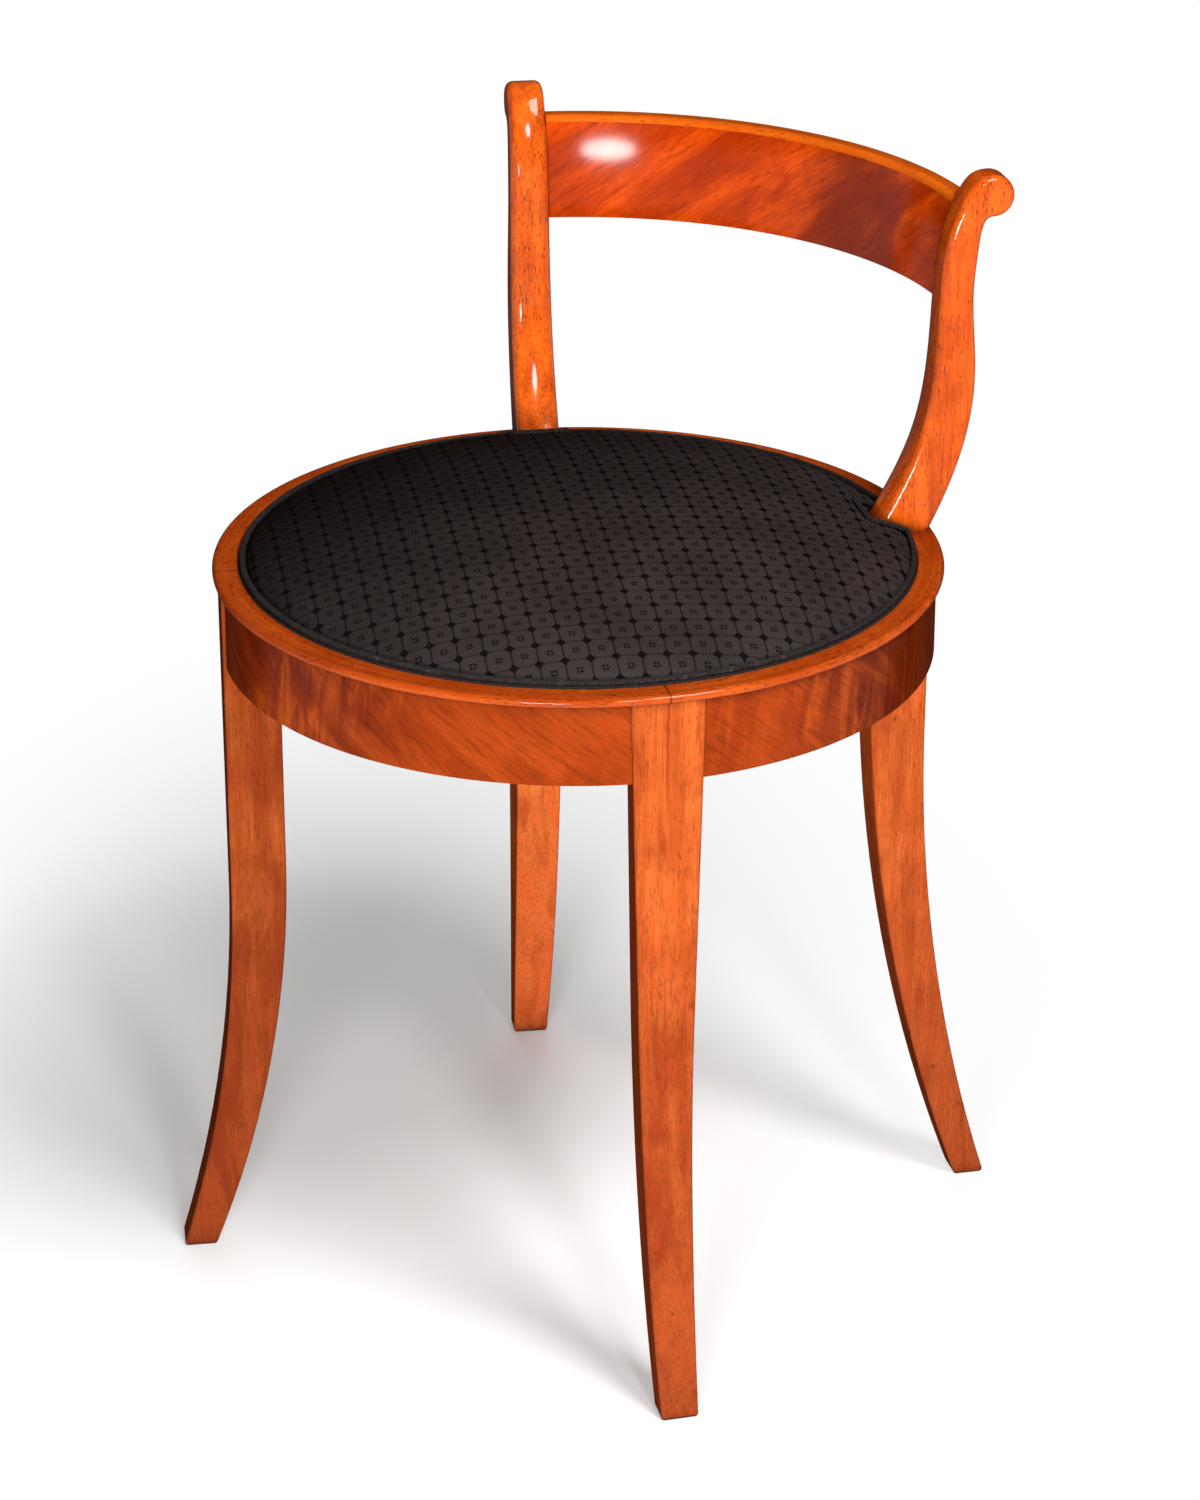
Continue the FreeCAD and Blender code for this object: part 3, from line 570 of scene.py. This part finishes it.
def makeIron():
    form = ironLooks
    material, spot = newMaterial("oldIron", Metallic=form["metallic"])
    rust = cloud(spot, form["patches"])
    colour = tint(rust, form["metal"], form["rust"])
    return finish(material, colour, spread(rust, 0, 1, *form["rough"]), rust, form["bump"])


sawnWood = makeSawnWood()
oldIron = makeIron()
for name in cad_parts:
    if name in ("corner_block_screws", "webbing_tacks", "cover_tacks"):
        dress(name, oldIron)
    elif name.startswith(("apron_core", "corner_block_", "seat_frame")):
        dress(name, sawnWood)
print("wood and iron finished")


# cloth finishes

hairCloth = {
    "hair": (0.039, 0.0288, 0.0277), "ground": (0.0035, 0.0025, 0.0024), "lint": (0.1, 0.09, 0.085),
    "sheen": 0.05, "sheenRange": (0.4, 0.68), "threadRange": (0.3, 0.7, 0.72, 1.0),
    "patches": {"scale": 22, "detail": 3, "range": (0.3, 0.7, 0.75, 1.0)},
    # painted light: the side gradient that pales the cloth towards the lamps
    "litSideTurn": 5.0, "litSideSpan": (-0.2, 0.1), "litSideLeast": 0.2,
    "lintScale": 130, "lintSize": (0.03, 0.07, 1, 0), "lintPick": (0.8, 0.82), "lintMost": 0.55,
    "rough": (0.75, 0.52), "hairRelief": 0.6, "threadRelief": 0.4, "bump": 0.0004}


def makeHairCloth():
    form = hairCloth
    material, spot = newMaterial("horsehairCloth")
    sheen = spread(turnedAway(material), *form["sheenRange"], form["sheen"], 0.0)
    feed(shaderOf(material)["Specular IOR Level"], sheen)
    weave = use(tileWeave, Vector=spot)
    hair = times(weave["Hair"], spread(weave["Thread"], *form["threadRange"]))
    side = split(moved(spot, turn=(0, 0, form["litSideTurn"])))[0]  # painted light: the cloth is paler towards the side that faces the lamps
    litSide = spread(side, *form["litSideSpan"], form["litSideLeast"], 1.0)
    patchesAndLitSide = times(cloud(spot, form["patches"]), litSide)
    colour = tint(times(hair, patchesAndLitSide), form["ground"], form["hair"])
    near, pick = cells(spot, form["lintScale"])
    lint = times(spread(near, *form["lintSize"]), spread(split(pick)[0], *form["lintPick"]))
    colour = tint(times(lint, form["lintMost"]), colour, form["lint"])
    height = plus(times(weave["Hair"], form["hairRelief"]), times(weave["Thread"], form["threadRelief"]))
    return finish(material, colour, spread(hair, 0, 1, *form["rough"]), height, form["bump"])


sideCloth = {"pitch": 0.0011, "fuzz": {"scale": 600, "detail": 3, "rough": 0.65},
             "fuzzRange": (0.4, 0.75, 0, 0.6), "roughRange": (0.3, 0.7, 0.6, 0.85), "bump": 0.0004}


def makeSideCloth():  # the plain selvedge of the same cloth, down the side and under the seat
    form = {**hairCloth, **sideCloth}
    material, spot = newMaterial("horsehairSelvedge", Specular_IOR_Level=form["sheen"])
    arc, radius, level = split(use(ringPlace, Vector=spot, Facing=1.0)["Unrolled"])
    place = joined(arc, minus(level, radius), 0.0)
    weave = use(plainWeave, Vector=place, Pitch=form["pitch"])
    fuzz = cloud(spot, form["fuzz"])
    colour = tint(weave["Thread"], form["ground"], form["hair"])
    colour = tint(spread(fuzz, *form["fuzzRange"]), colour, form["ground"])
    return finish(material, colour, spread(fuzz, *form["roughRange"]), weave["Thread"], form["bump"])


edgingLooks = {"dark": (0.005, 0.0042, 0.004), "thread": (0.034, 0.028, 0.027), "pale": (0.09, 0.08, 0.078),
               "sheen": 0.05, "turn": 31, "pitch": 0.0009,
               "fuzz": {"scale": 900, "detail": 3, "rough": 0.7}, "fuzzRange": (0.45, 0.7),
               "worn": {"scale": 190, "detail": 3, "rough": 0.6, "range": (0.52, 0.72)},
               "roughRange": (0.3, 0.7, 0.6, 0.85), "bump": 0.0004}


def makeEdging():
    form = edgingLooks
    material, spot = newMaterial("rolledEdging", Specular_IOR_Level=form["sheen"])
    weave = use(plainWeave, Vector=moved(spot, turn=(0, 0, form["turn"])), Pitch=form["pitch"])
    fuzz = cloud(spot, form["fuzz"])
    worn = times(cloud(spot, form["worn"]), spread(fuzz, *form["fuzzRange"]))
    colour = tint(worn, tint(weave["Thread"], form["dark"], form["thread"]), form["pale"])
    height = plus(weave["Thread"], fuzz)
    return finish(material, colour, spread(fuzz, *form["roughRange"]), height, form["bump"])


webForm = {"width": 0.05, "pitch": 0.062, "thickness": 0.0014, "count": 3, "endRadius": 0.187, "ease": 0.006,
           "lift": 1.07, "segments": 90, "acrossSegments": 4}
juteLooks = {"slub": {"stretch": (1, 0.15, 1), "scale": 700, "detail": 2}, "slubRange": (0.4, 0.7, 0, 0.5),
             "stripe": (0.16, 0.03, 0.02), "stripeAt": 0.019, "stripeRange": (0.0008, 0.0012, 1, 0),
             "stripeMost": 0.8, "gap": (0.03, 0.022, 0.012), "gapMost": 0.8,
             "roughRange": (0.3, 0.7, 0.75, 0.92), "slubRelief": 0.5, "bump": 0.0006, "gloss": 0.2, "nap": 0.1}
strapCloth = {"light": (0.42, 0.31, 0.17), "dark": (0.2, 0.13, 0.06), "pitch": 0.0016, "striped": True}
hessianCloth = {"light": (0.45, 0.34, 0.2), "dark": (0.24, 0.16, 0.08), "pitch": 0.0013, "striped": False}


def makeJute(name, cloth, turn=0.0):
    form = {**juteLooks, **cloth}
    material, spot = newMaterial(name, Specular_IOR_Level=form["gloss"], Sheen_Weight=form["nap"])
    place = moved(moved(spot, shift=(0, -axisY, 0)), turn=(0, 0, turn))
    weave = use(plainWeave, Vector=place, Pitch=form["pitch"])
    slub = cloud(place, form["slub"])
    colour = tint(weave["Thread"], form["dark"], form["light"])
    colour = tint(spread(slub, *form["slubRange"]), colour, form["dark"])
    if form["striped"]:  # two woven lines on each strap
        half = webForm["pitch"] / 2
        side = calc("ABSOLUTE", calc("WRAP", split(place)[0], half, -half))
        stripe = spread(apart(side, form["stripeAt"]), *form["stripeRange"])
        colour = tint(times(stripe, form["stripeMost"]), colour, form["stripe"])
    colour = tint(times(weave["Gap"], form["gapMost"]), colour, form["gap"])
    height = plus(weave["Thread"], times(slub, form["slubRelief"]))
    return finish(material, colour, spread(slub, *form["roughRange"]), height, form["bump"])


# mesh helpers

def newPiece(name, bm, material, body="seat", smooth=True):
    bmesh.ops.recalc_face_normals(bm, faces=bm.faces)
    mesh = bpy.data.meshes.new(name)
    bm.to_mesh(mesh)
    bm.free()
    piece = bpy.data.objects.new(name, mesh)
    bpy.context.collection.objects.link(piece)
    mesh.materials.append(material)
    mesh.polygons.foreach_set("use_smooth", [smooth] * len(mesh.polygons))
    if body:
        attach(piece, body)
    return piece


def settle(piece):  # applies the modifiers
    shape = piece.evaluated_get(bpy.context.evaluated_depsgraph_get())
    mesh = bpy.data.meshes.new_from_object(shape)
    old = piece.data
    piece.modifiers.clear()
    piece.data = mesh
    bpy.data.meshes.remove(old)


def thicken(bm, thickness):
    bmesh.ops.solidify(bm, geom=bm.faces[:] + bm.edges[:] + bm.verts[:], thickness=thickness)


# loose seat: crowned pad, cover turned under, rolled edging

padForm = {
    "radius": 0.1991, "crownRise": 0.0302, "crownRadius": 0.85, "shoulderRadius": 0.2, "shoulderWidth": 0.0356,
    "edgeBevel": 0.0034, "edgeDrop": 0.0022, "leastWall": 0.001, "wallInset": 0.0011,
    "notchHalf": 0.015, "notchRadius": 0.1755, "notchDepth": 0.06, "notchHeight": 0.1, "outlineStep": 0.004,
    "spinSteps": 120, "profileSteps": 28, "weld": 0.00002, "voxel": 0.0042, "relaxFactor": 0.5, "relaxTurns": 3}
swellForm = {"pressure": 4.0, "frames": 14, "quality": 5, "mostMove": 0.0022, "heldBand": 0.009,
             "heldLevel": 0.003, "footReach": 0.036, "gripFade": 0.03}


def crownLevel(radius):
    form = padForm
    top = rimTop + form["crownRise"]
    reach = form["radius"] - form["shoulderWidth"]
    if radius < reach:
        return top - form["crownRadius"] + math.sqrt(form["crownRadius"] ** 2 - radius ** 2)
    turn = math.asin(reach / form["crownRadius"])
    offset = form["crownRadius"] - form["shoulderRadius"]
    middle = offset * math.sin(turn)
    level = top - form["crownRadius"] + offset * math.cos(turn)
    # the edging is drawn down to the rim
    drop = form["edgeDrop"] * ((radius - reach) / form["shoulderWidth"]) ** 2
    return level + math.sqrt(form["shoulderRadius"] ** 2 - (radius - middle) ** 2) - drop


def seatOutline(inset, step=padForm["outlineStep"]):  # the pad's edge, in and out around both uprights
    form = padForm
    radius = form["radius"] - inset
    half = form["notchHalf"] + inset
    inner = form["notchRadius"] - inset
    gap = math.degrees(math.asin(half / radius))
    outer = radius * math.cos(math.radians(gap))
    turns = sorted(uprightTurns.values())
    spans = [(turns[0] + gap, turns[1] - gap), (turns[1] + gap, turns[0] + 360 - gap)]
    points = []
    for (start, end), notch in zip(spans, (turns[1], turns[0])):
        count = round(math.radians(end - start) * radius / step)
        points += [around(start + (end - start) * index / count, radius, 0) for index in range(count + 1)]
        corners = [(-half, outer), (-half, inner), (half, inner), (half, outer)]
        spin = Matrix.Rotation(math.radians(notch), 3, "Z")
        places = [seatAxis + spin @ Vector((across, -deep, 0)) for across, deep in corners]
        for first, last in zip(places, places[1:]):
            count = max(2, round((last - first).length / step))
            begin = 1 if first is places[0] else 0
            points += [first.lerp(last, index / count) for index in range(begin, count)]
    return points


def makePad(material):
    form = padForm
    bm = bmesh.new()
    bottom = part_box("seat_stuffing")[0].z
    wall = form["radius"] - form["wallInset"]
    edge = form["radius"] - form["edgeBevel"]
    radii = [edge * index / form["profileSteps"] for index in range(form["profileSteps"] + 1)]
    profile = [(radius, crownLevel(radius)) for radius in radii]
    shoulder = max(crownLevel(edge) - form["edgeBevel"], bottom + form["leastWall"])
    profile += [(wall, shoulder), (wall, bottom), (0, bottom)]
    verts = [bm.verts.new(around(0, radius, level)) for radius, level in profile]
    edges = [bm.edges.new(pair) for pair in zip(verts, verts[1:])]
    bmesh.ops.spin(bm, geom=verts + edges, cent=seatAxis, axis=(0, 0, 1), angle=2 * math.pi,
                   steps=form["spinSteps"], use_merge=True)
    bmesh.ops.remove_doubles(bm, verts=bm.verts, dist=form["weld"])
    pad = newPiece("seatPad", bm, material)

    cut = bmesh.new()  # room for the foot of each upright
    half = form["notchHalf"] + form["wallInset"]
    size = Matrix.Diagonal((2 * half, form["notchDepth"], form["notchHeight"], 1))
    for turn in uprightTurns.values():
        middle = around(turn, form["notchRadius"] - form["wallInset"] + form["notchDepth"] / 2, rimTop)
        place = Matrix.Translation(middle) @ Matrix.Rotation(math.radians(turn), 4, "Z") @ size
        bmesh.ops.create_cube(cut, size=1, matrix=place)
    cutter = newPiece("notchCutter", cut, material, body=None)
    notch = pad.modifiers.new("notch", "BOOLEAN")
    notch.object = cutter
    notch.operation = "DIFFERENCE"
    remesh = pad.modifiers.new("remesh", "REMESH")
    remesh.mode = "VOXEL"
    remesh.voxel_size = form["voxel"]
    settle(pad)
    bpy.data.objects.remove(cutter)
    relax = pad.modifiers.new("relax", "SMOOTH")
    relax.factor = form["relaxFactor"]
    relax.iterations = form["relaxTurns"]
    settle(pad)
    swell(pad)
    pad.data.polygons.foreach_set("use_smooth", [True] * len(pad.data.polygons))
    finer = pad.modifiers.new("finer", "SUBSURF")
    finer.levels = finer.render_levels = 1
    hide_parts("seat_stuffing")


def swell(pad):  # the stuffing presses against the cloth, which is held along its edge
    form = swellForm
    radius = padForm["radius"]
    start = [vert.co.copy() for vert in pad.data.vertices]
    held = pad.vertex_groups.new(name="held")
    feet = [around(turn, radius, 0) for turn in uprightTurns.values()]
    for index, spot in enumerate(start):
        flat = Vector((spot.x, spot.y, 0))
        free = radius - form["heldBand"] - (flat - seatAxis).length
        free = min(free, *((flat - foot).length - form["footReach"] for foot in feet))
        low = spot.z < rimTop + form["heldLevel"]
        grip = 1.0 if low else min(1.0, max(0.0, 1 - free / form["gripFade"]))
        if grip > 0:
            held.add([index], grip, "REPLACE")
    cloth = pad.modifiers.new("swell", "CLOTH")
    cloth.settings.quality = form["quality"]
    cloth.settings.use_pressure = True
    cloth.settings.uniform_pressure_force = form["pressure"]
    cloth.settings.effector_weights.gravity = 0
    cloth.settings.vertex_group_mass = "held"
    for moment in range(1, form["frames"] + 1):
        bpy.context.scene.frame_set(moment)
    settle(pad)
    pad.vertex_groups.clear()
    for vert, spot in zip(pad.data.vertices, start):
        move = vert.co - spot
        if move.length > form["mostMove"]:
            vert.co = spot + move.normalized() * form["mostMove"]
    bpy.context.scene.frame_set(1)


coverForm = {"top": 0.4462, "thickness": 0.0008, "returnRadius": 0.1671}


def makeCover(material):  # the cloth down the side, folded under the frame
    form = coverForm
    bm = bmesh.new()
    outline = seatOutline(0.0)
    fold = coverBottom + form["thickness"]
    top = [bm.verts.new((spot.x, spot.y, form["top"])) for spot in outline]
    rim = [bm.edges.new(pair) for pair in zip(top, top[1:] + top[:1])]
    wall = bmesh.ops.extrude_edge_only(bm, edges=rim)["geom"]
    lowVerts = {item for item in wall if isinstance(item, bmesh.types.BMVert)}
    lowEdges = [item for item in wall
                if isinstance(item, bmesh.types.BMEdge) and lowVerts.issuperset(item.verts)]
    for vert in lowVerts:
        vert.co.z = fold
    inner = []
    for spot in outline:
        place = seatAxis + (spot - seatAxis).normalized() * form["returnRadius"]
        inner.append(bm.verts.new((place.x, place.y, fold)))
    innerEdges = [bm.edges.new(pair) for pair in zip(inner, inner[1:] + inner[:1])]
    bmesh.ops.bridge_loops(bm, edges=lowEdges + innerEdges)
    bmesh.ops.recalc_face_normals(bm, faces=bm.faces)
    thicken(bm, form["thickness"])
    cover = newPiece("coverTurnedUnder", bm, material)
    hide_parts("seat_cover")


edgingForm = {"radius": 0.0018, "inset": 0.002, "sides": 4, "step": 0.0025, "weld": 0.00005,
              "swell": 0.07, "swellScale": 160, "ripple": 0.0003, "rippleScale": 300}


def makeEdgingRoll(material):
    form = edgingForm
    curve = bpy.data.curves.new("edgingPath", "CURVE")
    curve.dimensions = "3D"
    curve.bevel_depth = form["radius"]
    curve.bevel_resolution = form["sides"]
    spline = curve.splines.new("POLY")
    points = seatOutline(form["inset"], form["step"])
    spline.points.add(len(points) - 1)
    spline.use_cyclic_u = True
    for point, spot in zip(spline.points, points):
        point.co = (spot.x, spot.y, crownLevel((spot - seatAxis).length), 1)
        point.radius = 1 + form["swell"] * noise.noise(spot * form["swellScale"])
    path = bpy.data.objects.new("edgingPath", curve)
    bpy.context.collection.objects.link(path)
    mesh = bpy.data.meshes.new_from_object(path.evaluated_get(bpy.context.evaluated_depsgraph_get()))
    bpy.data.objects.remove(path)
    bm = bmesh.new()
    bm.from_mesh(mesh)
    bpy.data.meshes.remove(mesh)
    bmesh.ops.remove_doubles(bm, verts=bm.verts, dist=form["weld"])
    for vert in bm.verts:
        vert.co += Vector((0, 0, form["ripple"] * noise.noise(vert.co * form["rippleScale"])))
    roll = newPiece("rolledEdge", bm, material)
    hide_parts("edge_piping")


def makeWebbing(name, lengthwise, material):  # straps that pass over and under each other
    form = webForm
    bm = bmesh.new()
    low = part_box(name)[0].z
    half = form["width"] / 2
    offsets = [form["pitch"] * (index - (form["count"] - 1) / 2) for index in range(form["count"])]
    for row, offset in enumerate(offsets):
        reach = math.sqrt(form["endRadius"] ** 2 - (abs(offset) + half) ** 2)
        place = Matrix.Translation((offset, 0, low)) @ Matrix.Diagonal((form["width"], 2 * reach, 1, 1))
        strap = bmesh.ops.create_grid(bm, x_segments=form["acrossSegments"], y_segments=form["segments"],
                                      size=0.5, matrix=place)["verts"]
        for vert in strap:
            for column, crossing in enumerate(offsets):
                over = (row + column) % 2 == (0 if lengthwise else 1)
                away = abs(vert.co.y - crossing) - half
                if over and away < form["ease"]:
                    share = min(1.0, 1 - max(0.0, away) / form["ease"])
                    vert.co.z = low + form["thickness"] * form["lift"] * share
    thicken(bm, -form["thickness"])
    if not lengthwise:
        bmesh.ops.rotate(bm, verts=bm.verts, cent=(0, 0, 0), matrix=Matrix.Rotation(math.radians(90), 3, "Z"))
    bmesh.ops.translate(bm, verts=bm.verts, vec=seatAxis)
    straps = newPiece("straps_" + name, bm, material)
    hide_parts(name)
    return straps


hessianForm = {"radius": 0.172, "thickness": 0.0005, "segments": 96, "border": 0.012}


def makeHessian(material):
    form = hessianForm
    bm = bmesh.new()
    place = Matrix.Translation((0, axisY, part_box("seat_hessian")[0].z))
    bmesh.ops.create_circle(bm, cap_ends=True, radius=form["radius"], segments=form["segments"], matrix=place)
    bmesh.ops.inset_region(bm, faces=bm.faces[:], thickness=form["border"], use_even_offset=True)
    thicken(bm, -form["thickness"])
    cloth = newPiece("hessianSheet", bm, material, smooth=False)
    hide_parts("seat_hessian")


makePad(makeHairCloth())
makeCover(makeSideCloth())
makeEdgingRoll(makeEdging())
straps = [makeWebbing("webbing_lengthwise", True, makeJute("juteLengthwise", strapCloth)),
          makeWebbing("webbing_crosswise", False, makeJute("juteCrosswise", strapCloth, turn=90))]
makeHessian(makeJute("hessianCloth", hessianCloth))
print("loose seat dressed")


# floor, lamps and camera

floorForm = {"size": 300.0, "near": 0.12, "far": 0.5, "least": 0.1, "middle": (-0.1, -0.05), "turn": 34.0,
             "narrow": 0.5, "colour": (0.94, 0.94, 0.94), "rough": 0.9}


def makeFloor():
    form = floorForm
    material, spot = newMaterial("paleFloor", Base_Color=form["colour"], Roughness=form["rough"],
                                 Specular_IOR_Level=0.0)
    tree = material.node_tree
    place = moved(spot, shift=(-form["middle"][0], -form["middle"][1], 0))
    x, y, _ = split(moved(place, (1, form["narrow"], 1), (0, 0, -form["turn"])))
    away = calc("SQRT", plus(times(x, x), times(y, y)))
    rays = tree.nodes.new("ShaderNodeLightPath").outputs
    seen = calc("MAXIMUM", rays["Is Camera Ray"], rays["Is Glossy Ray"])
    seen = calc("MAXIMUM", seen, rays["Is Transmission Ray"])
    mix = tree.nodes.new("ShaderNodeMixShader")
    feed(mix.inputs[0], times(seen, spread(away, form["near"], form["far"], form["least"])))
    feed(mix.inputs[1], tree.nodes["Principled BSDF"].outputs[0])
    feed(mix.inputs[2], tree.nodes.new("ShaderNodeEmission").outputs[0])
    below = tree.nodes.new("ShaderNodeMixShader")  # nothing hides the stool from below
    feed(below.inputs[0], tree.nodes.new("ShaderNodeNewGeometry").outputs["Backfacing"])
    feed(below.inputs[1], mix.outputs[0])
    feed(below.inputs[2], tree.nodes.new("ShaderNodeBsdfTransparent").outputs[0])
    feed(tree.nodes["Material Output"].inputs["Surface"], below.outputs[0])
    bm = bmesh.new()
    bmesh.ops.create_grid(bm, x_segments=2, y_segments=2, size=form["size"] / 2)
    newPiece("paleFloor", bm, material, body=None, smooth=False)


lampForm = {  # azimuth, elevation, distance, width, height, watts, aim height
    "keySoftbox": (74, 52, 2.3, 0.75, 0.75, 46, 0.35),
    "frontSoftbox": (50, 30, 2.1, 0.24, 0.36, 13, 0.5),
    "lowSoftbox": (25, 0, 2.0, 0.58, 0.25, 33, 0.57),
    "backFill": (218, 42, 2.6, 2.0, 2.0, 15, 0.35)}
worldForm = {"Color": (1, 1, 1, 1), "Strength": 0.1}


def makeLamps():
    for name, (turn, rise, away, width, height, watts, aimLevel) in lampForm.items():
        lamp = bpy.data.lights.new(name, "AREA")
        lamp.shape = "ELLIPSE"
        lamp.size, lamp.size_y, lamp.energy = width, height, watts
        holder = bpy.data.objects.new(name, lamp)
        bpy.context.collection.objects.link(holder)
        aim = Vector((0, axisY, aimLevel))
        lift = math.radians(rise)
        holder.location = around(turn, away * math.cos(lift), aimLevel + away * math.sin(lift))
        holder.rotation_euler = (holder.location - aim).to_track_quat("Z", "Y").to_euler()
        holder.visible_camera = False
        holder.visible_glossy = name != "backFill"
    world = bpy.data.worlds.new("studio")
    bpy.context.scene.world = world
    world.use_nodes = True
    for label, value in worldForm.items():
        world.node_tree.nodes["Background"].inputs[label].default_value = value


cameraForm = {"turn": 34.26, "rise": 24.41, "away": 2.7619, "focalPixels": 4605.6, "framePixels": 1500,
              "sensor": 36, "side": 0.0128, "level": 0.3179}


def makeCamera():
    form = cameraForm
    data = bpy.data.cameras.new("photoCamera")
    data.sensor_fit = "VERTICAL"
    data.sensor_height = form["sensor"]
    data.lens = form["focalPixels"] / form["framePixels"] * data.sensor_height
    camera = bpy.data.objects.new("photoCamera", data)
    bpy.context.collection.objects.link(camera)
    turn, rise = math.radians(form["turn"]), math.radians(form["rise"])
    aim = Vector((form["side"] * math.cos(turn), axisY + form["side"] * math.sin(turn), form["level"]))
    back = Vector((math.sin(turn) * math.cos(rise), -math.cos(turn) * math.cos(rise), math.sin(rise)))
    camera.location = aim + back * form["away"]
    camera.rotation_euler = back.to_track_quat("Z", "Y").to_euler()
    bpy.context.scene.camera = camera


makeFloor()
makeLamps()
makeCamera()
bpy.context.scene.view_settings.view_transform = "Standard"
print("studio ready")
